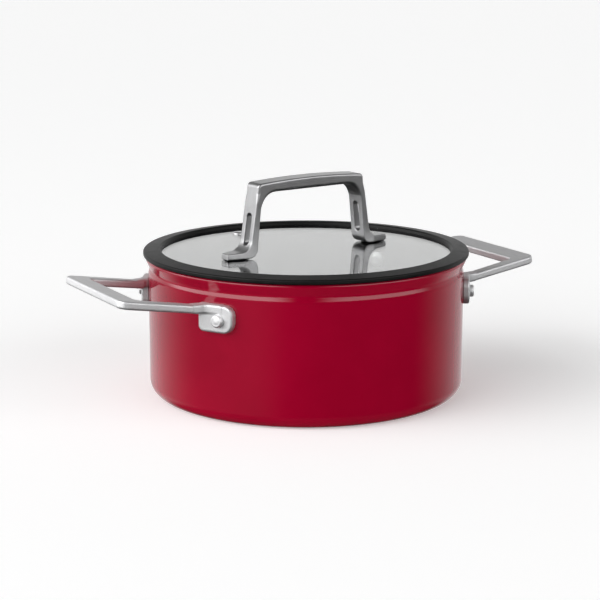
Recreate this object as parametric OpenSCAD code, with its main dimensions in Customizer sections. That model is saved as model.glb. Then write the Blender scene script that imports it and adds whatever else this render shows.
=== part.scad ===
// Round stock pot with two riveted loop handles and a flat glass lid in a silicone rim.
// All sizes are millimetres. The pot stands on z = 0 with its axis on the Z axis, and its
// loop handles point along +X and -X.

/* [Pot] */
// Outer radius of the straight wall
pot_r = 99.8; // [96:0.2:104]
// Thickness of the wall
wall = 2.8; // [2.2:0.1:3.4]
// Thickness of the floor
floor_t = 4.5; // [3.5:0.1:6]
// Outer radius of the corner between the wall and the base
corner_r = 9; // [7:0.5:12]
// Height at which the wall draws in below the mouth
shoulder_z = 78.6; // [78:0.2:82]
// Height of the rounded lip above the table
pot_h = 88.4; // [88:0.1:92]
// Radius of the steel disc pressed into the base
disc_r = 78; // [60:1:84]
// Thickness of the steel disc
disc_t = 1.2; // [0.8:0.1:1.6]

/* [Side handles] */
// Reach of a handle from the pot's axis
handle_reach = 146.6; // [140:0.1:152]
// Width over the two outer corners of a handle
handle_w = 89.2; // [86:0.2:92]
// Thickness of the handle bar
bar_t = 5; // [4.5:0.1:6]
// Width of the bar where it is gripped
grip_w = 13.6; // [11:0.1:15]
// Width of each arm where it meets the pot
arm_w = 6.8; // [6:0.1:8]
// Upward tilt of the handle
handle_tilt = 9; // [6:0.5:11]
// Angle of each lug round the pot from its handle's middle
lug_angle = 31; // [30:0.5:32]
// Height of the rivets above the table
rivet_z = 64.5; // [63:0.1:66]

/* [Lid] */
// Outer radius of the silicone rim
rim_r = 102.9; // [102.2:0.1:104]
// Width of the rim's top face
rim_w = 11.6; // [9:0.1:12]
// Thickness of the glass
glass_t = 4; // [3.5:0.1:4.5]
// Turn of the lid about the pot's axis
lid_turn = 7; // [-180:1:180]
// Distance of the steam vent from the axis
vent_pos = 72.7; // [60:0.1:80]

/* [Lid handle] */
// Length of the grip over its top corners
grip_l = 80.8; // [76:0.2:84]
// Length over the tips of the two feet
foot_l = 124.4; // [120:0.2:128]
// Height of the grip above the glass
arch_h = 47.6; // [44:0.1:52]
// Width of the arch at the grip
arch_w = 13.6; // [12:0.1:16]
// Distance of each screw from the lid's axis
screw_pos = 52.5; // [51:0.1:54]

/* [Hidden] */
$fn = 96;
eps = 0.01;

coat_red = "#9e1230";
steel = "#c9cbcd";
steel_dark = "#8d8f92";
silicone = "#26282a";

// pot
lip_r = 1.45;
neck_in = 0.9;
neck_rise = 1.6;
flare_out = 1.1;
inner_r = pot_r - wall;
inner_corner = 7;
neck_z = shoulder_z + neck_rise;
flare_z = pot_h - lip_r;

// lugs and rivets
lug_gap = 0.1;
lug_t = 3.8;
lug_face = pot_r + lug_gap + lug_t;
lug_in = 14.2;
lug_out = 9.4;
lug_below = 7.6;
lug_above = 9;
lug_top = rivet_z + lug_above;
shank_r = 2.5;
head_r = 3.8;
head_h = 2.9;
inner_head_r = 5.2;
inner_head_h = 1.9;
head_gap = 0.2;

// loop of each side handle
root_x = 92;
loop_l = (handle_reach - root_x) / cos(handle_tilt);
root_drop = 1.5;
root_half = handle_w / 2 + 0.4;
open_half = handle_w / 2 - 8.8;
blend_x = 100;

// lid
rim_gap = 0.3;
rim_under = pot_h + rim_gap;
glass_top = rim_under + 1.6;
glass_under = glass_top - glass_t;
rim_in = rim_r - rim_w;
groove_r = rim_in + 2.6;
glass_r = groove_r - 0.1;
skirt_r = 95.7;
skirt_z = glass_under - 2.8;
vent_r = 2.5;
vent_bore = 1.2;
vent_flange = 3.8;

// lid handle and its fasteners
pad_t = 0.5;
foot_z = glass_top + pad_t;
foot_t = 3.5;
foot_tip_w = 7.4;
foot_root_w = 12.8;
grip_top = glass_top + arch_h;
crown_drop = 1.5;
crown_steps = 6;
grip_half = grip_l / 2;
foot_half = foot_l / 2;
leg_in = 41.8;
leg_out = 46.7;
leg_top_in = grip_half - 2.6;
under_z = grip_top - 7.3;
slot_w = 5.2;
slot_low = glass_top + 8.1;
slot_high = glass_top + 27.4;
screw_r = 2;
tap_gap = 0.05;
bush_t = 1.2;
bush_r = 7.5;
washer_r = 7;
washer_t = 1;
screw_head_r = 4;
screw_head_h = 2.4;
washer_z = glass_under - bush_t - washer_t;

// Corner of an outline: the cut-off length and the sign of the turn at point i.
function prev_pt(p, i) = p[(i + len(p) - 1) % len(p)];
function next_pt(p, i) = p[(i + 1) % len(p)];
function unit(v) = v / norm(v);
function to_prev(p, i) = unit(prev_pt(p, i) - p[i]);
function to_next(p, i) = unit(next_pt(p, i) - p[i]);
function half_angle(p, i) = acos(to_prev(p, i) * to_next(p, i)) / 2;
function convex(p, i) = cross(to_next(p, i), to_prev(p, i)) > 0;
function cut_len(p, r, i) = r[i] / tan(half_angle(p, i));
function arc_centre(p, r, i) =
    p[i] + unit(to_prev(p, i) + to_next(p, i)) * r[i] / sin(half_angle(p, i));

// Outline p, counter-clockwise, with each corner i rounded by a true arc of radius r[i].
module rounded(p, r) {
    cut = [for (i = [0:len(p) - 1])
        each r[i] == 0 ? [p[i]] :
            [p[i] + to_prev(p, i) * cut_len(p, r, i), p[i] + to_next(p, i) * cut_len(p, r, i)]];
    difference() {
        union() {
            polygon(cut);
            for (i = [0:len(p) - 1])
                if (r[i] > 0 && convex(p, i)) translate(arc_centre(p, r, i)) circle(r[i]);
        }
        for (i = [0:len(p) - 1])
            if (r[i] > 0 && !convex(p, i)) translate(arc_centre(p, r, i)) circle(r[i]);
    }
}

// Places a child, built along +Z from the pot's axis, so that it points outwards at the rivets.
module at_rivet(angle) {
    rotate([0, 0, angle]) translate([0, 0, rivet_z]) rotate([0, 90, 0]) children();
}

// Turns a child, built on the lid's +X side, to that side or to the opposite one.
module lid_side(side) {
    rotate([0, 0, lid_turn + (side > 0 ? 0 : 180)]) children();
}

// Half section of the pot's outside, filled to the axis.
module pot_outside() {
    translate([pot_r - corner_r, corner_r]) circle(corner_r);
    square([pot_r - corner_r, shoulder_z]);
    translate([0, corner_r]) square([pot_r, shoulder_z - corner_r]);
    polygon([[0, shoulder_z - 1], [pot_r, shoulder_z - 1], [pot_r, shoulder_z],
        [pot_r - neck_in, neck_z], [pot_r + flare_out + 0.4, flare_z],
        [pot_r + flare_out - 1, flare_z + eps], [0, flare_z + eps]]);
    translate([pot_r + flare_out + 0.5 - lip_r, flare_z]) circle(lip_r);
}

// Half section of the space inside the pot.
module pot_inside() {
    rounded([[-1, floor_t], [inner_r, floor_t], [inner_r, shoulder_z + 0.3],
        [inner_r - neck_in, neck_z + 0.1], [inner_r + flare_out + 0.4, flare_z],
        [inner_r + flare_out + 0.4, pot_h + 2], [-1, pot_h + 2]],
        [0, inner_corner, 0, 0, 0, 0, 0]);
}

module pot_body() color(coat_red) difference() {
    rotate_extrude() difference() {
        intersection() {
            pot_outside();
            square([2 * pot_r, 2 * pot_h]);
        }
        pot_inside();
        translate([-1, -1]) square([disc_r + 0.1 + 1, disc_t + 1]);
    }
    for (side = [0, 180], a = [-lug_angle, lug_angle])
        at_rivet(side + a) translate([0, 0, inner_r - 5]) cylinder(h = 12, r = shank_r);
}

module base_disc() color(steel) cylinder(h = disc_t, r = disc_r);

// Flat lug in its own plane: x runs round the pot, away from the handle's middle.
module lug_outline() {
    rounded([[-lug_in, -lug_below], [lug_out, -lug_below], [lug_out, lug_above],
        [-lug_in, lug_above]], [3.5, 6.5, 5.5, 0]);
}

// One lug, on the side y > 0 of the right-hand handle.
module lug() {
    rotate([0, 0, lug_angle]) translate([pot_r + lug_gap, 0, rivet_z]) rotate([90, 0, 90])
        linear_extrude(lug_t) lug_outline();
}

// Plan of the piece that turns the arm into its lug, on the side y > 0.
function on_lug(face, u) = [face * cos(lug_angle) - u * sin(lug_angle),
    face * sin(lug_angle) + u * cos(lug_angle)];
arm_slope = (root_half - handle_w / 2) / (handle_reach - root_x);
arm_edge_y = root_half - arm_slope * (blend_x - root_x);
lug_meet_u = (root_half - lug_face * sin(lug_angle)) / cos(lug_angle) + 0.1;

module root_plan() {
    rounded([[blend_x, arm_edge_y - arm_w + 0.2], [blend_x, arm_edge_y],
        on_lug(lug_face, lug_meet_u), on_lug(lug_face, 2), on_lug(pot_r + 0.9, 2),
        on_lug(pot_r + 0.9, -lug_in + 0.6), [blend_x - 5, arm_edge_y - arm_w + 0.4]],
        [0, 0, 10, 0, 0, 0, 0]);
}

// Plan of the loop in its own tilted plane, x outwards from the root.
module loop_plan() {
    difference() {
        rounded([[3, -root_half], [loop_l, -handle_w / 2], [loop_l, handle_w / 2],
            [3, root_half]], [0, 6.5, 6.5, 0]);
        rounded([[-10, -root_half + arm_w], [loop_l - grip_w, -open_half],
            [loop_l - grip_w, open_half], [-10, root_half - arm_w]], [0, 3.5, 3.5, 0]);
    }
}

module side_handle() color(steel) difference() {
    union() {
        translate([root_x, 0, lug_top - root_drop]) rotate([0, -handle_tilt, 0]) translate([0, 0, -bar_t])
            linear_extrude(bar_t) loop_plan();
        for (m = [0, 1]) mirror([0, m, 0]) {
            lug();
            translate([0, 0, lug_top - bar_t]) linear_extrude(bar_t) root_plan();
        }
    }
    cylinder(h = 2 * pot_h, r = pot_r + lug_gap / 2);
    for (a = [-lug_angle, lug_angle])
        at_rivet(a) translate([0, 0, pot_r - 3]) cylinder(h = 12, r = shank_r);
}

// Half section of a rivet: y runs outwards from the pot's axis.
module rivet_section() {
    in_face = inner_r - head_gap;
    rounded([[0, in_face - inner_head_h], [inner_head_r * 0.55, in_face - inner_head_h],
        [inner_head_r, in_face - 0.6], [inner_head_r, in_face], [shank_r, in_face],
        [shank_r, lug_face], [head_r, lug_face], [head_r, lug_face + head_h],
        [0, lug_face + head_h + 0.2]],
        [0, 0, 0.3, 0, 0, 0, 0, 0.8, 0]);
}

module rivet(angle) color(steel) at_rivet(angle) rotate_extrude() rivet_section();

// Half section of the silicone rim, with the groove that holds the glass.
module rim_section() {
    rounded([[rim_in, glass_under - 2], [rim_in + 3, skirt_z], [skirt_r, skirt_z],
        [skirt_r, rim_under], [rim_r, rim_under], [rim_r + 0.05, glass_top + 1.2],
        [rim_in + 0.1, glass_top + 2.6], [rim_in, glass_top], [groove_r, glass_top],
        [groove_r, glass_under], [rim_in, glass_under]],
        [0.6, 0.6, 0.8, 0.5, 0.8, 1, 0.8, 0, 0, 0, 0]);
}

module lid_rim() color(silicone) rotate_extrude() rim_section();

module lid_glass() color([0.75, 0.8, 0.8, 0.4]) difference() {
    translate([0, 0, glass_under]) cylinder(h = glass_t, r = glass_r);
    for (s = [-1, 1])
        lid_side(s) translate([screw_pos, 0, glass_under - 1])
            cylinder(h = glass_t + 2, r = screw_r + 1.6);
    rotate([0, 0, lid_turn + 92]) translate([vent_pos, 0, glass_under - 1])
        cylinder(h = glass_t + 2, r = vent_r + 0.1);
}

// Eyelet with a raised round flange above the glass and a rolled one below.
module steam_vent() color(steel)
    rotate([0, 0, lid_turn + 92]) translate([vent_pos, 0, 0]) rotate_extrude()
        rounded([[vent_bore, glass_under - 0.8], [vent_flange - 0.4, glass_under - 0.8],
            [vent_flange - 0.4, glass_under], [vent_r, glass_under], [vent_r, glass_top],
            [vent_flange, glass_top], [vent_flange, glass_top + 0.7],
            [vent_bore + 0.9, glass_top + 1.5], [vent_bore, glass_top + 1.5]],
            [0, 0.4, 0, 0, 0, 0, 0.4, 0.5, 0.3]);

// Side view of the arch: feet turned outwards, leaning legs and a crowned grip.
crown = [for (i = [crown_steps - 1:-1:1 - crown_steps])
    [grip_half * i / crown_steps, grip_top - crown_drop * pow(i / crown_steps, 2)]];

module arch_side() {
    leg = [[foot_half, foot_z, 0.5], [foot_half, foot_z + foot_t, 0.8],
        [leg_out, foot_z + foot_t + 0.7, 8], [grip_half, grip_top - crown_drop, 3]];
    inside = [[leg_in, foot_z, 5.5], [leg_top_in, under_z, 12]];
    right = [for (c = leg) c];
    left = [for (i = [len(leg) - 1:-1:0]) [-leg[i].x, leg[i].y, leg[i].z]];
    inner = [[-inside[0].x, inside[0].y, inside[0].z], [-inside[1].x, inside[1].y, inside[1].z],
        inside[1], inside[0]];
    corners = concat(right, [for (c = crown) [c.x, c.y, 0]], left, inner);
    rounded([for (c = corners) [c.x, c.y]], [for (c = corners) c.z]);
}

// Plan of the arch: full width between the legs, feet narrowing to their tips.
module arch_plan() {
    rounded([[foot_half, -foot_tip_w / 2], [foot_half, foot_tip_w / 2],
        [leg_out + 3, foot_root_w / 2], [grip_half - 1, arch_w / 2],
        [-grip_half + 1, arch_w / 2], [-leg_out - 3, foot_root_w / 2],
        [-foot_half, foot_tip_w / 2], [-foot_half, -foot_tip_w / 2],
        [-leg_out - 3, -foot_root_w / 2], [-grip_half + 1, -arch_w / 2],
        [grip_half - 1, -arch_w / 2], [leg_out + 3, -foot_root_w / 2]],
        [1.5, 1.5, 0, 0, 0, 0, 1.5, 1.5, 0, 0, 0, 0]);
}

// Long window through a leg, cut along X.
module leg_window() {
    for (z = [slot_low + slot_w / 2, slot_high - slot_w / 2])
        translate([0, 0, z]) rotate([0, 90, 0]) cylinder(h = 16, r = slot_w / 2);
    translate([0, -slot_w / 2, slot_low + slot_w / 2])
        cube([16, slot_w, slot_high - slot_low - slot_w]);
}

module lid_handle() color(steel_dark) rotate([0, 0, lid_turn]) difference() {
    intersection() {
        translate([0, arch_w, 0]) rotate([90, 0, 0]) linear_extrude(2 * arch_w) arch_side();
        translate([0, 0, glass_top]) linear_extrude(arch_h + 5) arch_plan();
    }
    for (m = [0, 1]) mirror([m, 0, 0]) {
        translate([leg_in - 8, 0, 0]) leg_window();
        translate([screw_pos, 0, foot_z - 1]) cylinder(h = 4, r = screw_r + tap_gap);
    }
}

// Thin silicone pad under a foot.
module foot_pad(side) color(silicone) lid_side(side) difference() {
    translate([0, 0, glass_top]) linear_extrude(pad_t)
        rounded([[foot_half - 1, -foot_tip_w / 2 + 0.8], [foot_half - 1, foot_tip_w / 2 - 0.8],
            [leg_out + 2.5, foot_root_w / 2 - 1], [leg_out + 2.5, -foot_root_w / 2 + 1]],
            [1, 1, 1, 1]);
    translate([screw_pos, 0, glass_top - 1]) cylinder(h = 3, r = screw_r + 0.2);
}

// Silicone bush: a flange under the glass with a sleeve through the hole.
module glass_bush(side) color(silicone) lid_side(side) translate([screw_pos, 0, 0])
    rotate_extrude()
        rounded([[screw_r + 0.2, glass_under - bush_t], [bush_r, glass_under - bush_t],
            [bush_r, glass_under], [screw_r + 1.5, glass_under],
            [screw_r + 1.5, glass_top - 0.1], [screw_r + 0.2, glass_top - 0.1]],
            [0, 0.4, 0.3, 0, 0.2, 0]);

module lid_washer(side) color(steel) lid_side(side) translate([screw_pos, 0, washer_z])
    difference() {
        cylinder(h = washer_t, r = washer_r);
        translate([0, 0, -1]) cylinder(h = washer_t + 2, r = screw_r + 0.3);
    }

// Pan-head screw, head down, with a cross recess.
module lid_screw(side) color(steel) lid_side(side) translate([screw_pos, 0, washer_z])
    difference() {
        union() {
            rotate_extrude()
                rounded([[0, -screw_head_h], [screw_head_r, -screw_head_h], [screw_head_r, 0],
                    [0, 0]], [0, 1, 0.2, 0]);
            cylinder(h = foot_z + 2.7 - washer_z, r = screw_r);
        }
        for (a = [0, 90])
            rotate([0, 0, a]) translate([-2.2, -0.5, -screw_head_h - 1]) cube([4.4, 1, 2.4]);
    }

pot_body();
base_disc();
rotate([0, 0, 180]) side_handle();  // side_handle_left
side_handle();  // side_handle_right
rivet(180 + lug_angle);  // rivet_left_front
rivet(180 - lug_angle);  // rivet_left_rear
rivet(-lug_angle);  // rivet_right_front
rivet(lug_angle);  // rivet_right_rear
lid_rim();
lid_glass();
steam_vent();
lid_handle();
foot_pad(-1);  // foot_pad_left
foot_pad(1);  // foot_pad_right
glass_bush(-1);  // glass_bush_left
glass_bush(1);  // glass_bush_right
lid_washer(-1);  // lid_washer_left
lid_washer(1);  // lid_washer_right
lid_screw(-1);  // lid_screw_left
lid_screw(1);  // lid_screw_right
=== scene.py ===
# %% [markdown]
# # A low stock pot with a glass lid
# The engineering model of this pot is already packed as a fixed frame: two bodies, pot and lid,
# and twenty named nodes. This lesson keeps every size and place of that frame and rebuilds each
# node as a finer mesh with a real finish. The frame comes first, because every position below
# is read from it. The frame is in metres and the pot's own sizes are in millimetres, as on a
# drawing, so MM turns one into the other. Two helpers do what every later step needs: one links
# new data into the scene, the other ends the editing of a mesh.

# %% Load the imported model
import math
import bmesh
import bpy
import numpy as np
from mathutils import Matrix, Vector


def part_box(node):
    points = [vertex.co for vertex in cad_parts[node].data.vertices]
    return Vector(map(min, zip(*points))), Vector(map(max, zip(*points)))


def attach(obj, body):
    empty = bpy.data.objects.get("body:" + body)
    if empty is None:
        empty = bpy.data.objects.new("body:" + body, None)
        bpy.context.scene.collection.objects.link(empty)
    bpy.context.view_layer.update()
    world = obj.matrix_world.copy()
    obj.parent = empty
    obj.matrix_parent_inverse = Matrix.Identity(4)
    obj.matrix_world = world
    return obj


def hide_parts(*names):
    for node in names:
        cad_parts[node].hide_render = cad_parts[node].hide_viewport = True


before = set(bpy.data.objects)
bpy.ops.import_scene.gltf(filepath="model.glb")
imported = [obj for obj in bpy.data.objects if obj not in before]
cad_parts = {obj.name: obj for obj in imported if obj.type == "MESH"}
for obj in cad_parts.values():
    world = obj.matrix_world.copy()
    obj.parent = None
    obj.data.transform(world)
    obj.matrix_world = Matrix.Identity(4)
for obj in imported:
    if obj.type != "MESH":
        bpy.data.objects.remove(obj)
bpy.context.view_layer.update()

MM = 0.001


# %% Helpers that put things in the scene
def show(name, data):
    """A new object with this mesh, light or camera, linked into the scene."""
    made = bpy.data.objects.new(name, data)
    bpy.context.collection.objects.link(made)
    return made


def mesh_from(name, shape):
    """The mesh of an editable shape, which is freed."""
    mesh = bpy.data.meshes.new(name)
    shape.to_mesh(mesh)
    shape.free()
    return mesh


# %% [markdown]
# ## Camera
# The pot is seen from a little above its rim with a long lens, so its circles stay gentle
# ellipses. A camera is placed most simply by an azimuth round the object, a distance and a
# height. It looks down by its pitch and turns by a small yaw, which sets the pot a touch off
# centre.

# %% Place the camera
camera_azimuth = math.radians(-29.1)
camera_distance = 1.12183
camera_height = 0.301964
camera_pitch = math.radians(12.28723)
camera_yaw = math.radians(0.19384)
focal_length = 107.99

toward_camera = Vector((math.sin(camera_azimuth), -math.cos(camera_azimuth), 0))
camera_left = Vector((-math.cos(camera_azimuth), -math.sin(camera_azimuth), 0))

lens = bpy.data.cameras.new("camera")
lens.sensor_width = 36
lens.lens = focal_length
camera = show("camera", lens)
camera.location = toward_camera * camera_distance + Vector((0, 0, camera_height))
camera.rotation_euler = (math.pi / 2 - camera_pitch, 0, camera_azimuth + camera_yaw)
bpy.context.scene.camera = camera
bpy.context.scene.view_settings.view_transform = "Standard"
print("camera at", [round(v, 3) for v in camera.location])

# %% [markdown]
# ## Shader maths as expressions
# A finish is a small network of nodes, and a network is hard to read as a list of links. So one
# class, Wire, stands for an output socket and turns the usual operators into Math nodes: the
# line `1 - mask * 0.3` then reads as it is meant. A second class, Finish, owns the node tree.
# All other nodes come from its one method, which takes the node's type, its settings and the
# values or links of its sockets.

# %% Wire: a socket in an expression
class Wire:
    """An output socket that can be added, subtracted and scaled like a number."""

    def __init__(self, finish, socket):
        self.finish = finish
        self.socket = socket

    def output(self, name):
        """Another output of the same node."""
        return Wire(self.finish, self.socket.node.outputs[name])

    def math(self, operation, *others):
        """A Math node on this wire and any others."""
        inputs = dict(enumerate((self,) + others))
        return self.finish.node("Math", {"operation": operation}, inputs)

    def __add__(self, other):
        return self.math("ADD", other)

    def __rsub__(self, other):
        return (self * -1) + other

    def __mul__(self, other):
        return self.math("MULTIPLY", other)

    __radd__ = __add__
    __rmul__ = __mul__

    def size(self):
        """Its absolute value."""
        return self.math("ABSOLUTE")

    def root(self):
        """Its square root."""
        return self.math("SQRT")

    def rise(self, start, end):
        """0 at start, 1 at end and smooth between; start may be the larger one."""
        settings = {"interpolation_type": "SMOOTHSTEP", "clamp": True}
        inputs = {"Value": self, "From Min": start, "From Max": end}
        return self.finish.node("MapRange", settings, inputs)


# %% Finish: a material's node tree
class Finish:
    """A node tree with one way to add a node, and short names for the nodes used most."""

    def __init__(self, tree):
        self.tree = tree
        tree.nodes.clear()

    def node(self, kind, settings=None, inputs=None, output=0):
        made = self.tree.nodes.new("ShaderNode" + kind)
        for name, value in (settings or {}).items():
            setattr(made, name, value)
        for name, value in (inputs or {}).items():
            if isinstance(value, Wire):
                self.tree.links.new(value.socket, made.inputs[name])
            else:
                made.inputs[name].default_value = value
        return Wire(self, made.outputs[output]) if made.outputs else made

    def place(self):
        """The point of the surface, in metres, in the pot's own frame."""
        return self.node("TexCoord", output="Object")

    def split(self, vector):
        """The x, y and z wires of a vector."""
        parts = self.node("SeparateXYZ", inputs={0: vector})
        return [parts.output(axis) for axis in "XYZ"]

    def from_axis(self, place):
        """Distance of a place from the Z axis."""
        across, along = self.split(place)[:2]
        return (across * across + along * along).root()

    def stretch(self, vector, scale):
        """A vector scaled by its own factor along each axis."""
        return self.node("VectorMath", {"operation": "MULTIPLY"}, {0: vector, 1: scale})

    def along(self, vector, direction):
        """How far a vector points in a direction, from -1 to 1."""
        inputs = {0: vector, 1: tuple(direction)}
        return self.node("VectorMath", {"operation": "DOT_PRODUCT"}, inputs, "Value")

    def noise(self, vector, scale, detail=2.0, roughness=0.5):
        """Soft noise about 0.5; scale is the number of blotches in a metre."""
        inputs = {"Vector": vector, "Scale": scale, "Detail": detail, "Roughness": roughness}
        return self.node("TexNoise", {}, inputs)

    def specks(self, vector, scale):
        """Distance to the nearest of many scattered points, scale of them in a metre."""
        return self.node("TexVoronoi", {}, {"Vector": vector, "Scale": scale})

    def mix(self, low, high, factor):
        """The colour low where factor is 0 and high where it is 1."""
        inputs = {0: factor, 6: low, 7: high}
        return self.node("Mix", {"data_type": "RGBA"}, inputs, 2)

    def relief(self, height, distance):
        """Normals of a surface raised by height times distance, in metres."""
        return self.node("Bump", {}, {"Height": height, "Distance": distance, "Strength": 1.0})

    def surface(self, inputs):
        """Ends the tree in one Principled shader."""
        shader = self.node("BsdfPrincipled", {}, inputs)
        self.node("OutputMaterial", {}, {"Surface": shader})


def new_finish(name):
    """An empty material and its Finish."""
    material = bpy.data.materials.new(name)
    material.use_nodes = True
    return material, Finish(material.node_tree)


# %% [markdown]
# ## The room
# Shiny enamel and steel show the room more than their own colour, so the room decides how this
# pot looks. It stands in a white cove: the far wall is bright up to a low ceiling, the side
# towards the camera is dark near the floor, and a tall light panel stands on the left with a
# weaker one on the right. Brushed steel needs those panels, because it gathers light from a
# wide angle. A world shader gives all of that as a few smooth steps of the direction. The
# camera itself sees plain white.

# %% Build the world
world = bpy.data.worlds.new("studio")
world.use_nodes = True
bpy.context.scene.world = world
room = Finish(world.node_tree)
direction = room.node("TexCoord", output="Generated")
height_of_view = room.split(direction)[2]

left_panel_centre = toward_camera * 0.45 + camera_left * 0.89
right_panel_centre = toward_camera * 0.60 - camera_left * 0.80
left_panel_light = 3.5
right_panel_light = 2.3
left_glow_light = 0.15
far_wall_light = 0.72
far_wall_lift = 0.50
ceiling_light = 0.14
floor_bounce = 0.05
darkest = 0.004

above_floor = height_of_view.rise(-0.05, 0.12)
under_ceiling = height_of_view.rise(0.92, 0.70)
far_wall = room.along(direction, toward_camera).rise(0.15, -0.85) * height_of_view.rise(0.50, 0.29)
left_glow = room.along(direction, camera_left).rise(0.15, 0.65)
panel_heights = above_floor * under_ceiling
left_panel = room.along(direction, left_panel_centre).rise(0.52, 0.80) * panel_heights
right_panel = room.along(direction, right_panel_centre).rise(0.65, 0.90) * panel_heights
ceiling = height_of_view.rise(0.25, 0.8)
over_foot = height_of_view.rise(-0.62, -0.42)
brightness = far_wall * far_wall_light * (1 + above_floor * far_wall_lift)
brightness = (brightness + left_glow * left_glow_light) * over_foot
brightness = brightness + left_panel * left_panel_light + right_panel * right_panel_light
brightness = brightness + ceiling * ceiling_light + (1 - over_foot) * floor_bounce + darkest

seen_by_camera = room.node("LightPath", output="Is Camera Ray")
strength = seen_by_camera + (1 - seen_by_camera) * brightness
background = room.node("Background", {}, {"Color": (1, 1, 1, 1), "Strength": strength})
room.node("OutputWorld", {}, {"Surface": background})
print("room:", len(world.node_tree.nodes), "nodes")


# %% [markdown]
# ## Softboxes and the floor
# One softbox stands high on the left and gives the metal its bright edges. A weaker one on the
# right opens the shadow. The floor is a wide pale disc. It glows slightly, so that it
# stays as white as a studio sweep, and it isn't seen in reflections, where the world's own
# lower half takes its place.

# %% Hang the softboxes
def softbox(name, azimuth, elevation, distance, size, radiance):
    """A square soft light that looks at the pot; azimuth counts from the camera, left is minus."""
    turn = camera_azimuth + math.radians(azimuth)
    rise = math.radians(elevation)
    ray = Vector((math.sin(turn) * math.cos(rise), -math.cos(turn) * math.cos(rise), math.sin(rise)))
    light = bpy.data.lights.new(name, "AREA")
    light.size = size
    light.energy = radiance * math.pi * size * size
    lamp = show(name, light)
    lamp.location = ray * distance
    lamp.rotation_euler = ray.to_track_quat("Z", "Y").to_euler()
    print(f"{name}: {light.energy:.2f} W")


softbox("key_light", -62, 42, 1.5, 0.5, 2.0)
softbox("fill_light", 75, 35, 1.6, 0.4, 1.2)


# %% Lay the floor
floor_radius = 9.0
floor_white = 0.90
floor_glow = 0.27

floor_shape = bmesh.new()
bmesh.ops.create_circle(floor_shape, cap_ends=True, segments=96, radius=floor_radius)
floor = show("floor", mesh_from("floor", floor_shape))
floor_material, sweep = new_finish("pale_floor")
sweep.surface({
    "Base Color": (floor_white, floor_white, floor_white, 1),
    "Roughness": 0.9,
    "Specular IOR Level": 0.0,
    "Emission Color": (1, 1, 1, 1),
    "Emission Strength": floor_glow,
})
floor.data.materials.append(floor_material)
floor.visible_glossy = False
print("floor:", floor_radius, "m in radius")


# %% [markdown]
# ## The red coat
# The aluminium body is sprayed outside with a deep red enamel and baked. Such a coat is never
# perfectly flat: it has a faint orange peel about a millimetre wide and a few dust nibs. In the
# last few millimetres above the floor the red is darkened as painted contact shade, and the gloss
# there is made rougher. The colour is a plain Principled base with an ordinary gloss, and noise
# moves the colour, the gloss and the bump a little.

# %% Red enamel
deep_red = (0.228, 0.0003, 0.0143, 1)
warm_red = (0.252, 0.0005, 0.0165, 1)
# The next red is painted contact shade at the foot, and the height below it is how far up that shade
# reaches.
foot_shade_red = (0.190, 0.0020, 0.0140, 1)
foot_shade_height = 0.006


def red_enamel():
    material, coat = new_finish("red_enamel")
    place = coat.place()
    height = coat.split(place)[2]
    cloud = coat.noise(place, 22, 3)
    peel = coat.noise(place, 850, 1)
    nibs = coat.specks(place, 240).rise(0.10, 0.0)
    scuffs = coat.noise(coat.stretch(place, (90, 90, 900)), 6, 4).rise(0.60, 0.74)
    # foot paints contact shade: the colour darkens towards the floor, with noise in it, and the same
    # band also makes the gloss rougher.
    foot = height.rise(foot_shade_height, 0.0) * coat.noise(place, 260, 3).rise(0.35, 0.7)
    colour = coat.mix(coat.mix(deep_red, warm_red, cloud.rise(0.3, 0.7)), foot_shade_red, foot * 0.8)
    coat.surface({
        "Base Color": colour,
        "Roughness": 0.055 + cloud * 0.03 + scuffs * 0.05 + foot * 0.25,
        "IOR": 1.5,
        "Normal": coat.relief(peel + nibs * 1.2, 0.0000075),
    })
    return material


# %% [markdown]
# ## The lining
# Inside, the pot has a dark non-stick coat. It is sprayed rougher than the enamel, with fine
# pale mineral specks, and stirring leaves it slightly polished in rings on the floor.

# %% Non-stick lining
lining_dark = (0.014, 0.014, 0.015, 1)
lining_speck = (0.085, 0.085, 0.088, 1)


def non_stick():
    material, lining = new_finish("non_stick")
    place = lining.place()
    rings = lining.noise(lining.node("CombineXYZ", {}, {0: lining.from_axis(place)}), 420, 2)
    specks = lining.specks(place, 620).rise(0.16, 0.05) * lining.noise(place, 300, 1).rise(0.45, 0.6)
    grit = lining.noise(place, 1800, 2)
    lining.surface({
        "Base Color": lining.mix(lining_dark, lining_speck, specks),
        "Roughness": 0.30 + rings * 0.14 + specks * 0.1,
        "IOR": 1.45,
        "Normal": lining.relief(grit, 0.00002),
    })
    return material


# %% [markdown]
# ## Steels
# Four steels show on this pot. The side handles are satin brushed along each bar, the base
# disc is faced on a lathe, the lid handle is cast and blasted, and the rivets, vent and screws
# are small bright turned parts. Brushed steel is noise stretched along the brushing, which
# changes the roughness and the bump. Turned steel takes the same noise over the radius alone.

# %% Brushed steel of the side handles
steel_light = (0.80, 0.80, 0.805, 1)
steel_grey = (0.69, 0.69, 0.70, 1)


def brushed_steel(name, grip_start):
    """Satin steel, brushed along X on the arms and along Y past grip_start, in metres."""
    material, steel = new_finish(name)
    place = steel.place()
    across = steel.split(place)[0]
    on_grip = across.size().rise(grip_start - 0.004, grip_start + 0.002)
    arm_grain = steel.noise(steel.stretch(place, (0.03, 1, 1)), 2600, 3, 0.6)
    grip_grain = steel.noise(steel.stretch(place, (1, 0.03, 1)), 2600, 3, 0.6)
    grain = arm_grain * (1 - on_grip) + grip_grain * on_grip
    handling = steel.noise(place, 55, 3).rise(0.35, 0.7)
    steel.surface({
        "Base Color": steel.mix(steel_light, steel_grey, grain.rise(0.35, 0.7) * 0.6 + handling * 0.4),
        "Metallic": 1.0,
        "Roughness": 0.48 + grain * 0.16 + handling * 0.05,
        "Normal": steel.relief(grain, 0.000035),
    })
    return material


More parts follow.
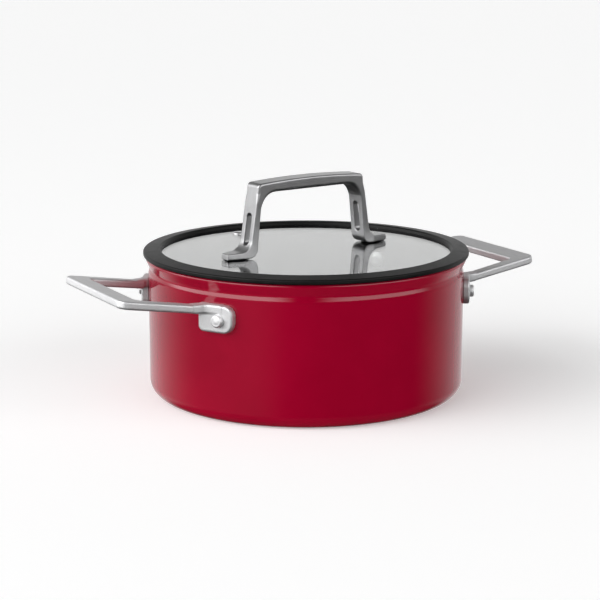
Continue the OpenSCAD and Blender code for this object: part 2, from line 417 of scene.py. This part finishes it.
# %% Turned steel of the base disc, rivets, vent, washers and screws
def turned_steel(name, tone, roughness, groove, wear=0.3):
    """Bright steel turned about Z, with grooves a given number of which fit in a metre."""
    material, steel = new_finish(name)
    place = steel.place()
    height = steel.split(place)[2]
    ring_place = steel.node("CombineXYZ", {}, {0: steel.from_axis(place), 2: height})
    rings = steel.noise(ring_place, groove, 3, 0.65)
    smudge = steel.noise(place, 130, 3).rise(0.4, 0.75)
    bright = (tone, tone, tone * 1.01, 1)
    dull = (tone * 0.8, tone * 0.79, tone * 0.78, 1)
    steel.surface({
        "Base Color": steel.mix(bright, dull, smudge * wear + rings * 0.25),
        "Metallic": 1.0,
        "Roughness": roughness + rings * 0.10 + smudge * 0.06,
        "Normal": steel.relief(rings, 0.00003),
    })
    return material


# %% Cast steel of the lid handle
cast_light = (0.42, 0.42, 0.425, 1)
cast_grey = (0.33, 0.33, 0.335, 1)


def cast_steel():
    material, steel = new_finish("cast_steel")
    place = steel.place()
    blast = steel.noise(place, 2400, 3, 0.6)
    flow = steel.noise(place, 90, 2).rise(0.3, 0.75)
    touch = steel.noise(steel.stretch(place, (1, 1, 0.4)), 260, 3).rise(0.55, 0.75)
    steel.surface({
        "Base Color": steel.mix(cast_light, cast_grey, flow * 0.5 + blast * 0.4),
        "Metallic": 1.0,
        "Roughness": 0.30 + blast * 0.12 + touch * 0.05,
        "Normal": steel.relief(blast, 0.00003),
    })
    return material


# %% [markdown]
# ## Silicone and glass
# The lid's rim, the two foot pads and the bushes are black silicone: matte, very slightly
# mottled, with lint and grease that silicone always picks up. The glass is clear tempered
# sheet, whose faint smears show only as a softer reflection.

# %% Black silicone
rubber_black = (0.003, 0.003, 0.003, 1)
rubber_mottled = (0.007, 0.007, 0.007, 1)
rubber_lint = (0.09, 0.09, 0.09, 1)


def black_silicone():
    material, rubber = new_finish("black_silicone")
    place = rubber.place()
    mottle = rubber.noise(place, 140, 4, 0.6)
    lint = rubber.specks(place, 420).rise(0.10, 0.02) * rubber.noise(place, 60, 2).rise(0.45, 0.62)
    fine = rubber.noise(place, 2200, 2)
    base = rubber.mix(rubber_black, rubber_mottled, mottle.rise(0.3, 0.7))
    rubber.surface({
        "Base Color": rubber.mix(base, rubber_lint, lint * 0.6),
        "Roughness": 0.38 + mottle * 0.14 + lint * 0.1,
        "IOR": 1.43,
        "Specular IOR Level": 0.22,
        "Normal": rubber.relief(fine + mottle * 0.5, 0.00002),
    })
    return material


# %% Clear glass
glass_tint = (0.93, 0.955, 0.945, 1)


def clear_glass():
    material, glass = new_finish("clear_glass")
    place = glass.place()
    smear = glass.noise(glass.stretch(place, (1, 0.35, 1)), 70, 4).rise(0.5, 0.78)
    glass.surface({
        "Base Color": glass_tint,
        "Roughness": smear * 0.03,
        "IOR": 1.5,
        "Transmission Weight": 1.0,
    })
    return material


# %% Make the finishes
grip_width = 13.6
handle_reach = max(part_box("side_handle_right")[1])
finishes = {
    "pot_coat": red_enamel(),
    "base_steel": turned_steel("faced_steel", 0.62, 0.26, 1300, 0.5),
    "handle_steel": brushed_steel("brushed_steel", handle_reach - grip_width * MM),
    "rivet_steel": turned_steel("rivet_steel", 0.93, 0.50, 1600, 0.15),
    "silicone": black_silicone(),
    "lid_glass": clear_glass(),
    "vent_steel": turned_steel("vent_steel", 0.82, 0.30, 1800),
    "lid_handle_steel": cast_steel(),
    "screw_steel": turned_steel("screw_steel", 0.62, 0.22, 2000, 0.5),
}
print("finishes:", len(finishes))


# %% [markdown]
# ## Outlines and turned pieces
# Most of this pot is turned or spun: its body, base, rivets, vent, rim and washers all come
# from one half section swept round an axis. A section is written as its few corners, each with
# the radius that rounds it, and a helper turns every corner into an arc.

# %% Outline and mesh helpers
def extent(node):
    """Lowest and highest corner of a CAD node, in millimetres."""
    return [[value / MM for value in corner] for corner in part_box(node)]


def outline(corners, arc_step=10):
    """Points of a closed outline whose corners (x, y, radius) are rounded by arcs."""
    points = []
    count = len(corners)
    for i, (x, y, radius) in enumerate(corners):
        here = Vector((x, y))
        back = (Vector(corners[i - 1][:2]) - here).normalized()
        ahead = (Vector(corners[(i + 1) % count][:2]) - here).normalized()
        if radius == 0:
            points.append(here)
            continue
        half = back.angle(ahead) / 2
        cut = radius / math.tan(half)
        centre = here + (back + ahead).normalized() * radius / math.sin(half)
        first = here + back * cut - centre
        turn = first.angle_signed(here + ahead * cut - centre)
        steps = max(2, round(abs(math.degrees(turn)) / arc_step))
        for k in range(steps + 1):
            angle = -turn * k / steps
            points.append(centre + Matrix.Rotation(angle, 2) @ first)
    return [tuple(point) for point in points]


def finish_piece(name, mesh, node, slot, body, smooth=35):
    """Puts a mesh in the scene in place of a CAD node, with its body, its slot and its finish."""
    mesh.materials.append(finishes[slot])
    mesh.shade_smooth()
    if smooth:
        mesh.set_sharp_from_angle(angle=math.radians(smooth))
    piece = show(name, mesh)
    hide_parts(node)
    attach(piece, body)
    print(f"{name}: {len(mesh.vertices)} vertices")
    return piece


def braced(points, margin=0.25):
    """The outline with an extra point near each end of a straight stretch, to keep it flat."""
    result = []
    for here, there in zip(points, points[1:] + points[:1]):
        result.append(here)
        length = math.dist(here, there)
        if length > 4 * margin:
            step = (Vector(there) - Vector(here)) * margin / length
            result.append(tuple(Vector(here) + step))
            result.append(tuple(Vector(there) - step))
    return result


def turned_mesh(name, section, place=Matrix(), segments=192):
    """Sweeps a closed half section of (radius, height) points, in millimetres, round Z."""
    shape = bmesh.new()
    rings = []
    for radius, height in braced(section):
        if radius < 1e-4:
            rings.append([shape.verts.new((0, 0, height))] * segments)
            continue
        angles = [math.tau * k / segments for k in range(segments)]
        ring = [(radius * math.cos(a), radius * math.sin(a), height) for a in angles]
        rings.append([shape.verts.new(point) for point in ring])
    for low, high in zip(rings, rings[1:] + rings[:1]):
        for k in range(segments):
            corners = [low[k], low[(k + 1) % segments], high[(k + 1) % segments], high[k]]
            corners = list(dict.fromkeys(corners))
            if len(corners) > 2:
                shape.faces.new(corners)
    bmesh.ops.recalc_face_normals(shape, faces=shape.faces)
    shape.transform(Matrix.Scale(MM, 4) @ place)
    return mesh_from(name, shape)


# %% [markdown]
# ## Pot body
# The body is deep drawn aluminium. Its wall draws in slightly under the mouth, flares out
# again and ends in a full round lip, and the corner to the base is generous so that food
# doesn't stick. One closed section gives the outside, the lip, the inside and the recess for
# the base disc, so the wall has its real thickness everywhere. Faces inside get the lining.

# %% Spin the body
wall = 2.8
floor_thickness = 4.5
corner_radius = 9
inner_corner = 7
lip_width = 2.9
shoulder_drop = 10.3
neck_drop = 7.6
neck_depth = 0.9
lip_overhang = 1.6
press_gap = 0.1

lip_radius = extent("pot_body")[1][0]
pot_height = extent("pot_body")[1][2]
disc_radius = extent("base_disc")[1][0]
disc_height = extent("base_disc")[1][2]
pot_radius = lip_radius - lip_overhang
inner_radius = pot_radius - wall
lip_inside = lip_radius - lip_width
lip_round = lip_width / 2 - 0.02

body_section = outline([
    (0, disc_height, 0),
    (disc_radius + press_gap, disc_height, 0),
    (disc_radius + press_gap, 0, 0.3),
    (pot_radius, 0, corner_radius),
    (pot_radius, pot_height - shoulder_drop, 8),
    (pot_radius - neck_depth, pot_height - neck_drop, 3),
    (lip_radius, pot_height - 1.9, 2.0),
    (lip_radius, pot_height, lip_round),
    (lip_inside, pot_height, lip_round),
    (lip_inside, pot_height - 1.6, 0.5),
    (inner_radius - neck_depth, pot_height - neck_drop + 0.1, 3),
    (inner_radius, pot_height - shoulder_drop + 0.3, 6),
    (inner_radius, floor_thickness, inner_corner),
    (0, floor_thickness, 0),
], arc_step=7.5)
pot_body = finish_piece(
    "pot_body_fine", turned_mesh("pot_body_fine", body_section, segments=256),
    "pot_body", "pot_coat", "pot")


# %% Line the inside
def paint(piece, material, inside):
    """Gives a second material to the faces whose centre passes the test inside."""
    piece.data.materials.append(material)
    for face in piece.data.polygons:
        if inside(face.center / MM):
            face.material_index = len(piece.data.materials) - 1


def is_lining(centre):
    """Faces above the floor and inside the middle of the wall or of the lip."""
    radius = math.hypot(centre.x, centre.y)
    in_pot = radius < pot_radius - 1.5 and centre.z > floor_thickness - 0.1
    on_lip = radius < lip_inside + lip_width / 2 and centre.z > pot_height - 1.3
    return in_pot or on_lip


paint(pot_body, non_stick(), is_lining)

# %% [markdown]
# ## Base disc
# A thin disc of magnetic steel is pressed into the base so that the pot also heats on
# induction. It lies flush with the foot. Its edge is broken by a small chamfer, and a few
# shallow pressed rings stiffen it, so the section steps up and down a few tenths of a
# millimetre.

# %% Spin the disc
ring_radii = [22, 40, 58]
ring_width = 1.6
ring_depth = 0.25

disc_corners = [(0, disc_height, 0), (0, 0, 0)]
for ring_radius in ring_radii:
    for side, depth in ((-1 / 2, 0), (-1 / 4, ring_depth), (1 / 4, ring_depth), (1 / 2, 0)):
        disc_corners.append((ring_radius + side * ring_width, depth, 0.3))
disc_corners += [(disc_radius, 0, 0.35), (disc_radius, disc_height, 0)]
finish_piece(
    "base_disc_fine", turned_mesh("base_disc_fine", outline(disc_corners)),
    "base_disc", "base_steel", "pot")

# %% [markdown]
# ## Rivets
# Four solid steel rivets hold the handles. Each has a stout round head outside, with a broken
# edge and a fine ring that the heading tool leaves, and a wide low head inside. The shank runs
# through the lug and the wall. A rivet is turned like the rest, but about an axis that points
# outwards from the pot's own axis.

# %% Head the rivets
lug_angle = 31
lug_face = pot_radius + 3.9
head_radius = 3.8
head_height = 2.9
head_crown = 0.25
shank_radius = 2.5
inner_head_radius = 5.2
inner_head_height = 1.9
inner_face = inner_radius - 0.2
head_top = lug_face + head_height
head_ring = 2.2
head_ring_half = 0.15
rivet_low, rivet_high = extent("rivet_right_front")
rivet_height = (rivet_low[2] + rivet_high[2]) / 2


def outward(angle, height):
    """Turns a piece built along +Z so that it points outwards at an angle round the pot."""
    turned = Matrix.Rotation(math.radians(angle), 4, "Z")
    return Matrix.Translation((0, 0, height)) @ turned @ Matrix.Rotation(math.pi / 2, 4, "Y")


rivet_section = outline([
    (0, inner_face - inner_head_height, 0),
    (inner_head_radius * 0.55, inner_face - inner_head_height, 1.2),
    (inner_head_radius, inner_face - 0.6, 0.4),
    (inner_head_radius, inner_face, 0),
    (shank_radius, inner_face, 0),
    (shank_radius, lug_face, 0),
    (head_radius, lug_face, 0.15),
    (head_radius, head_top, 1.1),
    (head_ring + head_ring_half, head_top + 0.05, 0.12),
    (head_ring, head_top - 0.1, 0.05),
    (head_ring - head_ring_half, head_top + 0.07, 0.12),
    (0, head_top + head_crown, 0),
], arc_step=15)
rivet_angles = {
    "rivet_right_front": -lug_angle,
    "rivet_right_rear": lug_angle,
    "rivet_left_front": 180 + lug_angle,
    "rivet_left_rear": 180 - lug_angle,
}
for rivet, angle in rivet_angles.items():
    rivet_mesh = turned_mesh(rivet + "_fine", rivet_section, outward(angle, rivet_height), 64)
    finish_piece(rivet + "_fine", rivet_mesh, rivet, "rivet_steel", "pot")

# %% [markdown]
# ## Solids with rounded edges
# The handles are bars that bend, blend into lugs and have every edge rounded. Bevels on such
# meshes break where pieces join. A distance field doesn't: for any point it says how far the
# surface is, negative inside. Two fields join by their minimum, cut by their maximum, and a
# small radius added to either rounds the edge exactly. A grid finds the cells that the surface
# crosses, one vertex is put in each and slid onto the surface, and the field's slope gives the
# shading normals.

# %% Distance fields
def flat_distance(x, y, points):
    """Signed distance of points (x, y) to a closed outline, negative inside."""
    nearest = np.full(x.shape, 1e9)
    inside = np.zeros(x.shape, bool)
    for (ax, ay), (bx, by) in zip(points, points[1:] + points[:1]):
        ex, ey = bx - ax, by - ay
        length = ex * ex + ey * ey
        if length < 1e-12:
            continue
        part = np.clip(((x - ax) * ex + (y - ay) * ey) / length, 0, 1)
        nearest = np.minimum(nearest, np.hypot(x - ax - part * ex, y - ay - part * ey))
        if ey != 0:
            crosses = (ay > y) != (by > y)
            inside ^= crosses & (x < ax + (y - ay) * ex / ey)
    return np.where(inside, -nearest, nearest)


def both(first, second, radius):
    """What two solids share, with the edge between them rounded by radius."""
    a = first + radius
    b = second + radius
    outside = np.hypot(np.maximum(a, 0), np.maximum(b, 0))
    return np.minimum(np.maximum(a, b), 0) + outside - radius


def joined(first, second, fillet):
    """Two solids as one, with a fillet along the seam."""
    gap = np.maximum(fillet - np.abs(first - second), 0) / fillet
    return np.minimum(first, second) - gap * gap * fillet / 4


def slope(field, points, step=0.02):
    """Direction in which the field grows, as unit vectors."""
    columns = []
    for axis in range(3):
        shift = np.zeros(3)
        shift[axis] = step
        columns.append(field(*(points + shift).T) - field(*(points - shift).T))
    grown = np.stack(columns, 1) / (2 * step)
    return grown / np.maximum(np.linalg.norm(grown, axis=1, keepdims=True), 1e-9)


# %% Skin of a distance field
def skin_mesh(name, field, low, high, cell, slides=6):
    """Closed mesh of the surface where field is 0, in a box of millimetres, and its normals."""
    axes = [np.arange(a - 1.5 * cell, b + 2.5 * cell, cell) for a, b in zip(low, high)]
    grid = field(*np.meshgrid(*axes, indexing="ij"))
    inside = grid < 0
    shape = np.array(grid.shape) - 1
    corner_sum = sum(
        inside[i:i + shape[0], j:j + shape[1], k:k + shape[2]].astype(int)
        for i in (0, 1) for j in (0, 1) for k in (0, 1))
    crossed = (corner_sum > 0) & (corner_sum < 8)
    number = np.full(crossed.shape, -1)
    number[crossed] = np.arange(crossed.sum())
    cells = np.argwhere(crossed)
    origin = np.array([axis[0] for axis in axes])
    points = origin + (cells + 0.5) * cell
    for _ in range(slides):
        value = field(*points.T)
        points = points - slope(field, points) * np.clip(value, -cell, cell)[:, None]
    faces = []
    for axis in range(3):
        one, two = [other for other in range(3) if other != axis]
        ahead = np.roll(inside, -1, axis)
        change = np.argwhere(inside != ahead)
        change = change[(change > 0).all(1) & (change < shape).all(1)]
        quad = []
        for shift_one, shift_two in ((1, 1), (0, 1), (0, 0), (1, 0)):
            neighbour = change.copy()
            neighbour[:, one] -= shift_one
            neighbour[:, two] -= shift_two
            quad.append(number[tuple(neighbour.T)])
        quad = np.stack(quad, 1)
        outward_face = inside[tuple(change.T)] == (axis != 1)
        quad[~outward_face] = quad[~outward_face][:, ::-1]
        faces.append(quad)
    mesh = bpy.data.meshes.new(name)
    mesh.from_pydata((points * MM).tolist(), [], np.concatenate(faces).tolist())
    mesh.validate()
    return mesh, slope(field, points)


def skin_piece(name, skinned, node, slot, body):
    """A piece from a skin, shaded by the field's own normals."""
    mesh, normals = skinned
    piece = finish_piece(name, mesh, node, slot, body, smooth=0)
    mesh.normals_split_custom_set_from_vertices(normals.tolist())
    return piece


# %% [markdown]
# ## Side handles
# Each handle is one forged loop of satin steel. Two arms leave the pot, tilt up a little and
# meet in a wide flat grip, and at the pot each arm turns into a flat lug that follows the wall
# and takes a rivet. The loop is a plan cut from a slab in its own tilted plane, the lug an
# outline cut from a shell round the pot, and a fillet joins them. The loop is the same on both
# sides of its middle, so the field takes the size of y and is built once.

# %% Shape of one handle
handle_low, handle_high = extent("side_handle_right")
handle_half = 45
tilt = math.radians(9)
bar_thickness = 5
arm_width = 6.8
corner_inset = 0.4
reach = handle_high[0] - bar_thickness * math.sin(tilt)
root_x = 92
root_top = rivet_height + 7.5
loop_length = (reach - root_x) / math.cos(tilt)
open_half = handle_half - 9.2
top_edge = 1.35
lug_edge = 1.3
lug_back = 14.2
lug_front = 9.4
lug_below = 7.6
lug_above = 9
fillet = 1.2
wall_gap = 0.06

loop_plan = outline([
    (3, -handle_half, 0), (loop_length, corner_inset - handle_half, 6.5),
    (loop_length, handle_half - corner_inset, 6.5), (3, handle_half, 0)])
loop_opening = outline([
    (-10, arm_width - handle_half, 0), (loop_length - grip_width, -open_half, 3.5),
    (loop_length - grip_width, open_half, 3.5), (-10, handle_half - arm_width, 0)])
lug_plan = outline([
    (-lug_back, -lug_below, 3.5), (lug_front, -lug_below, 6.5),
    (lug_front, lug_above, 5.5), (-lug_back, lug_above, 0.6)])
lug_cos = math.cos(math.radians(lug_angle))
lug_sin = math.sin(math.radians(lug_angle))


def on_lug(distance, along):
    """Point of the plan, a distance from the axis and so far along the lug."""
    return distance * lug_cos - along * lug_sin, distance * lug_sin + along * lug_cos


arm_side = handle_half - 0.1
root_start = 95
root_end = 100
root_edge = 1.0
lug_meet = (handle_half - lug_face * lug_sin) / lug_cos
root_plan = outline([
    (root_end, arm_side - arm_width + 0.2, 0), (root_end, arm_side, 0),
    (*on_lug(lug_face, lug_meet + 0.1), 10), (*on_lug(lug_face, 2), 0),
    (*on_lug(pot_radius - 2, 2), 0), (*on_lug(pot_radius - 2, -13.6), 0),
    (root_start, arm_side - arm_width + 0.4, 0)])


def handle_field(x, y, z):
    """Distance to the right-hand handle."""
    y = np.abs(y)
    radius = np.hypot(x, y)
    along_loop = math.cos(tilt) * (x - root_x) + math.sin(tilt) * (z - root_top)
    above_loop = math.cos(tilt) * (z - root_top) - math.sin(tilt) * (x - root_x)
    opening = flat_distance(along_loop, y, loop_opening)
    plan = np.maximum(flat_distance(along_loop, y, loop_plan), -opening)
    slab = np.abs(above_loop + bar_thickness / 2) - bar_thickness / 2
    loop = both(plan, slab, top_edge)

    out = x * lug_cos + y * lug_sin
    along = y * lug_cos - x * lug_sin
    lug = both(flat_distance(along, z - rivet_height, lug_plan), out - lug_face, lug_edge)

    lug_top = rivet_height + lug_above
    root_slab = np.abs(z - lug_top + bar_thickness / 2) - bar_thickness / 2
    root = both(flat_distance(x, y, root_plan), root_slab, root_edge)
    solid = joined(joined(loop, root, fillet), lug, fillet)
    hole = np.hypot(along, z - rivet_height) - shank_radius
    return np.maximum(np.maximum(solid, pot_radius + wall_gap - radius), -hole)


# %% Skin both handles
right_handle = skin_mesh(
    "side_handle_right_fine", handle_field, handle_low, handle_high, 0.55)
left_mesh = right_handle[0].copy()
left_mesh.name = "side_handle_left_fine"
left_mesh.transform(Matrix.Rotation(math.pi, 4, "Z"))
left_handle = (left_mesh, right_handle[1] * [-1, -1, 1])
skin_piece("side_handle_right_fine", right_handle, "side_handle_right", "handle_steel", "pot")
skin_piece("side_handle_left_fine", left_handle, "side_handle_left", "handle_steel", "pot")

# %% [markdown]
# ## Lid rim
# The rim is one moulding of black silicone. Its top face slopes gently outwards, its edge
# overhangs the pot's lip, a skirt drops inside the mouth to centre the lid, and a groove holds
# the glass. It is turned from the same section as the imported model, with finer corners.

# %% Turn the rim
rim_width = 11.6
rim_low, rim_high = extent("lid_rim")
rim_radius = rim_high[0] - 0.05
rim_inside = rim_radius - rim_width
glass_low, glass_high = extent("lid_glass")
glass_under = glass_low[2]
glass_top = glass_high[2]
glass_radius = glass_high[0]
rim_under = pot_height + 0.3
rim_shoulder = glass_top + 1.2
rim_crest = glass_top + 2.6
groove_radius = glass_radius + 0.1
skirt_radius = 95.7
skirt_low = rim_low[2]

rim_section = outline([
    (rim_inside, glass_under - 2, 0.6), (rim_inside + 3, skirt_low, 0.6),
    (skirt_radius, skirt_low, 0.8), (skirt_radius, rim_under, 0.5),
    (rim_radius, rim_under, 0.8), (rim_radius + 0.05, rim_shoulder, 1),
    (rim_inside + 0.5, rim_crest, 1.6), (rim_inside, glass_top, 0),
    (groove_radius, glass_top, 0), (groove_radius, glass_under, 0),
    (rim_inside, glass_under, 0)])
finish_piece(
    "lid_rim_fine", turned_mesh("lid_rim_fine", rim_section, segments=256),
    "lid_rim", "silicone", "lid")


# %% [markdown]
# ## Glass
# The lid is a flat disc of tempered glass with a ground, slightly rounded edge. Three holes go
# through it before tempering: two for the handle's screws and one for the vent. Holes are cut
# with the Boolean modifier, which keeps them exactly round, and the modifier is applied.

# %% Helpers that cut holes
def around(distance, angle):
    """The point (x, y) at a distance from the axis and an angle round it."""
    return distance * math.cos(angle), distance * math.sin(angle)


def moved_to(centre):
    """Moves a piece turned about the axis to a point (x, y)."""
    return Matrix.Translation((*centre, 0))


def plug(name, radius, low, high, centre):
    """A temporary cylinder that cuts a hole."""
    section = [(0, low), (radius, low), (radius, high), (0, high)]
    return show(name, turned_mesh(name, section, moved_to(centre), 64))


def cut(mesh, cutters):
    """The mesh with every cutter taken away; the cutters are deleted."""
    blank = show("blank", mesh)
    for cutter in cutters:
        step = blank.modifiers.new("cut", "BOOLEAN")
        step.operation = "DIFFERENCE"
        step.solver = "EXACT"
        step.object = cutter
    evaluated = blank.evaluated_get(bpy.context.evaluated_depsgraph_get())
    result = bpy.data.meshes.new_from_object(evaluated)
    result.materials.clear()
    for used in [blank] + cutters:
        bpy.data.objects.remove(used)
    return result


# %% Cut the glass
lid_turn = math.radians(7)
vent_angle = lid_turn + math.radians(92)
vent_distance = 72.7
screw_distance = 52.5
screw_radius = 2
screw_hole = screw_radius + 1.6
vent_hole = 2.6

vent_centre = around(vent_distance, vent_angle)
turns = {"right": lid_turn, "left": lid_turn + math.pi}
screw_centres = {side: around(screw_distance, turn) for side, turn in turns.items()}
glass_blank = turned_mesh("glass_blank", outline([
    (0, glass_under, 0), (glass_radius, glass_under, 0.5),
    (glass_radius, glass_top, 0.5), (0, glass_top, 0)], 15), segments=256)
drills = [plug("vent_drill", vent_hole, glass_under - 1, glass_top + 1, vent_centre)]
for centre in screw_centres.values():
    drills.append(plug("screw_drill", screw_hole, glass_under - 1, glass_top + 1, centre))
finish_piece("lid_glass_fine", cut(glass_blank, drills), "lid_glass", "lid_glass", "lid")

# %% [markdown]
# ## Steam vent
# The vent is a small bright eyelet, pressed through its hole and rolled over below the glass.
# Its raised flange above is smooth and round, so its section is mostly arcs.

# %% Roll the vent
vent_bore = 1.2
vent_tube = vent_hole - 0.1
vent_roll = 3.4
vent_roll_low = glass_under - 0.8
vent_flange = 3.8
vent_top = glass_top + 1.5
vent_section = outline([
    (vent_bore, vent_roll_low, 0.2), (vent_roll, vent_roll_low, 0.4),
    (vent_roll, glass_under, 0), (vent_tube, glass_under, 0), (vent_tube, glass_top, 0),
    (vent_flange, glass_top, 0.1), (vent_flange, glass_top + 0.7, 0.4),
    (2.1, vent_top, 0.6), (vent_bore, vent_top, 0.35)], 12)
vent_mesh = turned_mesh("steam_vent_fine", vent_section, moved_to(vent_centre), 96)
finish_piece("steam_vent_fine", vent_mesh, "steam_vent", "vent_steel", "lid")

# %% [markdown]
# ## Lid handle
# The lid's handle is an arch of cast steel: two feet turned outwards on the glass, two thin
# legs with a long window in each, and a slightly crowned grip. A side view and a plan, each a
# rounded outline, meet in one solid. The edges below the grip are rounder than those on top,
# because fingers close round them, so the rounding radius changes with height.

# %% Shape of the arch
foot_low, foot_high = extent("lid_handle")
foot_base = foot_low[2]
grip_top = foot_high[2]
foot_thickness = 3.5
foot_half = 62.2
grip_half = 40.4
arch_width = 13.6
crown_drop = 1.5
crown_steps = 8
grip_under = grip_top - 7.3
leg_inside = 41.8
leg_outside = 46.7
leg_top_inside = grip_half - 2.6
tip_half = 3.7
ankle_half = 6.4
window_half = 2.6
window_low = glass_top + 8.1
window_high = glass_top + 27.4
window_edge = 0.7
tap_gap = 0.05
tap_depth = foot_thickness - 0.75

side_right = [
    (foot_half, foot_base, 0.5), (foot_half, foot_base + foot_thickness, 0.8),
    (leg_outside, foot_base + foot_thickness + 0.7, 8), (grip_half, grip_top - crown_drop, 3)]
side_crown = [
    (grip_half * k / crown_steps, grip_top - crown_drop * (k / crown_steps) ** 2, 0)
    for k in range(crown_steps - 1, -crown_steps, -1)]
side_left = [(-x, z, radius) for x, z, radius in reversed(side_right)]
side_inside = [
    (-leg_inside, foot_base, 5.5), (-leg_top_inside, grip_under, 12),
    (leg_top_inside, grip_under, 12), (leg_inside, foot_base, 5.5)]
arch_side = outline(side_right + side_crown + side_left + side_inside)

plan_right = [
    (grip_half - 1, -arch_width / 2, 0), (leg_outside + 3, -ankle_half, 0),
    (foot_half, -tip_half, 1.5), (foot_half, tip_half, 1.5),
    (leg_outside + 3, ankle_half, 0), (grip_half - 1, arch_width / 2, 0)]
plan_left = [(-x, -y, radius) for x, y, radius in plan_right]
arch_plan = outline(plan_right + plan_left)


def edge_radius(z):
    """Rounding of the arch's edges at a height."""
    heights = [foot_base, foot_base + 5, grip_under - 6, grip_under, grip_top - 4, grip_top]
    return np.interp(z, heights, [0.6, 0.8, 0.9, 2.2, 1.8, 0.9])


def arch_field(x, y, z):
    """Distance to the lid's handle, whose feet lie along the turned X axis."""
    u = x * math.cos(lid_turn) + y * math.sin(lid_turn)
    v = y * math.cos(lid_turn) - x * math.sin(lid_turn)
    solid = both(flat_distance(u, z, arch_side), flat_distance(u, v, arch_plan), edge_radius(z))
    window_z = np.clip(z, window_low + window_half, window_high - window_half)
    window = np.hypot(v, z - window_z) - window_half
    solid = both(solid, -window, window_edge)
    thread = np.hypot(np.abs(u) - screw_distance, v) - screw_radius - tap_gap
    blind_hole = np.maximum(thread, z - foot_base - tap_depth)
    return np.maximum(solid, -blind_hole)


# %% Skin the arch
arch = skin_mesh("lid_handle_fine", arch_field, foot_low, foot_high, 0.5)
skin_piece("lid_handle_fine", arch, "lid_handle", "lid_handle_steel", "lid")


# %% [markdown]
# ## Pads, bushes, washers and screws
# Steel never touches the glass. A thin silicone pad lies under each foot, a silicone bush
# lines each hole and spreads the washer's load below, and one pan-head screw per side comes up
# from inside the pot into the foot. The pads are a flat outline with a softened edge, the rest
# is turned, and the screw's cross is cut with two small blocks.

# %% Cut the pads
def plate_mesh(name, points, low, high, edge, place):
    """A flat plate from an outline, with both of its rims softened by edge."""
    shape = bmesh.new()
    centre = sum((Vector(point) for point in points), Vector((0, 0))) / len(points)
    rings = []
    for inset, height in ((edge, low), (0, low + edge), (0, high - edge), (edge, high)):
        ring = []
        for point in points:
            spoke = Vector(point) - centre
            moved = centre + spoke * (1 - inset / spoke.length)
            ring.append(shape.verts.new((moved.x, moved.y, height)))
        rings.append(ring)
    for lower, upper in zip(rings, rings[1:]):
        for k in range(len(points)):
            after = (k + 1) % len(points)
            shape.faces.new((lower[k], lower[after], upper[after], upper[k]))
    shape.faces.new(rings[0][::-1])
    shape.faces.new(rings[-1])
    bmesh.ops.recalc_face_normals(shape, faces=shape.faces)
    shape.transform(Matrix.Scale(MM, 4) @ place)
    return mesh_from(name, shape)


bush_bore = screw_radius + 0.2
pad_start = leg_outside + 2.5
pad_end = foot_half - 1
pad_edge = 0.12
pad_plan = outline([
    (pad_start, -ankle_half + 1, 1), (pad_end, 0.8 - tip_half, 1),
    (pad_end, tip_half - 0.8, 1), (pad_start, ankle_half - 1, 1)], 15)
for side, turn in turns.items():
    pad = f"foot_pad_{side}"
    pad_turn = Matrix.Rotation(turn, 4, "Z")
    pad_blank = plate_mesh(pad + "_blank", pad_plan, glass_top, foot_base, pad_edge, pad_turn)
    drill = plug("pad_drill", bush_bore, glass_top - 1, foot_base + 1, screw_centres[side])
    finish_piece(pad + "_fine", cut(pad_blank, [drill]), pad, "silicone", "lid")

# %% Turn the bushes and washers
bush_radius = 7.5
bush_tube = screw_radius + 1.5
bush_top = glass_top - 0.1
bush_low = glass_under - 1.2
washer_bore = screw_radius + 0.3
washer_radius = 7
washer_low = bush_low - 1

bush_section = outline([
    (bush_bore, bush_low, 0), (bush_radius, bush_low, 0.4), (bush_radius, glass_under, 0.3),
    (bush_tube, glass_under, 0), (bush_tube, bush_top, 0.2), (bush_bore, bush_top, 0)], 15)
washer_section = outline([
    (washer_bore, washer_low, 0.12), (washer_radius, washer_low, 0.25),
    (washer_radius, bush_low, 0.15), (washer_bore, bush_low, 0)], 22)
for side, centre in screw_centres.items():
    for kind, section, slot in (
            ("glass_bush", bush_section, "silicone"), ("lid_washer", washer_section, "screw_steel")):
        node = f"{kind}_{side}"
        ring_mesh = turned_mesh(node + "_fine", section, moved_to(centre), 96)
        finish_piece(node + "_fine", ring_mesh, node, slot, "lid")

# %% Turn the screws and cut their crosses
screw_head_radius = 4
screw_low = washer_low - 2.4
screw_top = foot_base + 2.7
screw_point = 0.4
thread_pitch = 0.7
thread_depth = 0.25
cross_length = 4.4
cross_width = 1.0
cross_depth = 1.4

screw_corners = [
    (0, screw_low, 0), (screw_head_radius, screw_low, 1.2),
    (screw_head_radius, washer_low, 0.2), (screw_radius, washer_low, 0)]
thread_count = int((screw_top - glass_under) / thread_pitch)
for k in range(thread_count):
    thread_z = glass_under + k * thread_pitch
    screw_corners.append((screw_radius, thread_z, 0))
    screw_corners.append((screw_radius - thread_depth, thread_z + thread_pitch / 2, 0))
screw_corners += [
    (screw_radius, screw_top - screw_point, 0), (screw_radius - screw_point, screw_top, 0),
    (0, screw_top, 0)]
screw_section = outline(screw_corners, 15)


def cross_block(name, angle, centre):
    """One bar of the cross, as a temporary block."""
    shape = bmesh.new()
    bmesh.ops.create_cube(shape, size=1)
    size = Matrix.Diagonal((cross_length, cross_width, 2 * cross_depth, 1))
    place = Matrix.Translation((*centre, screw_low))
    shape.transform(Matrix.Scale(MM, 4) @ place @ Matrix.Rotation(angle, 4, "Z") @ size)
    return show(name, mesh_from(name, shape))


for side, centre in screw_centres.items():
    screw = f"lid_screw_{side}"
    screw_blank = turned_mesh(screw + "_blank", screw_section, moved_to(centre), 64)
    bars = [cross_block("cross_bar", turns[side] + quarter, centre) for quarter in (0, math.pi / 2)]
    finish_piece(screw + "_fine", cut(screw_blank, bars), screw, "screw_steel", "lid")
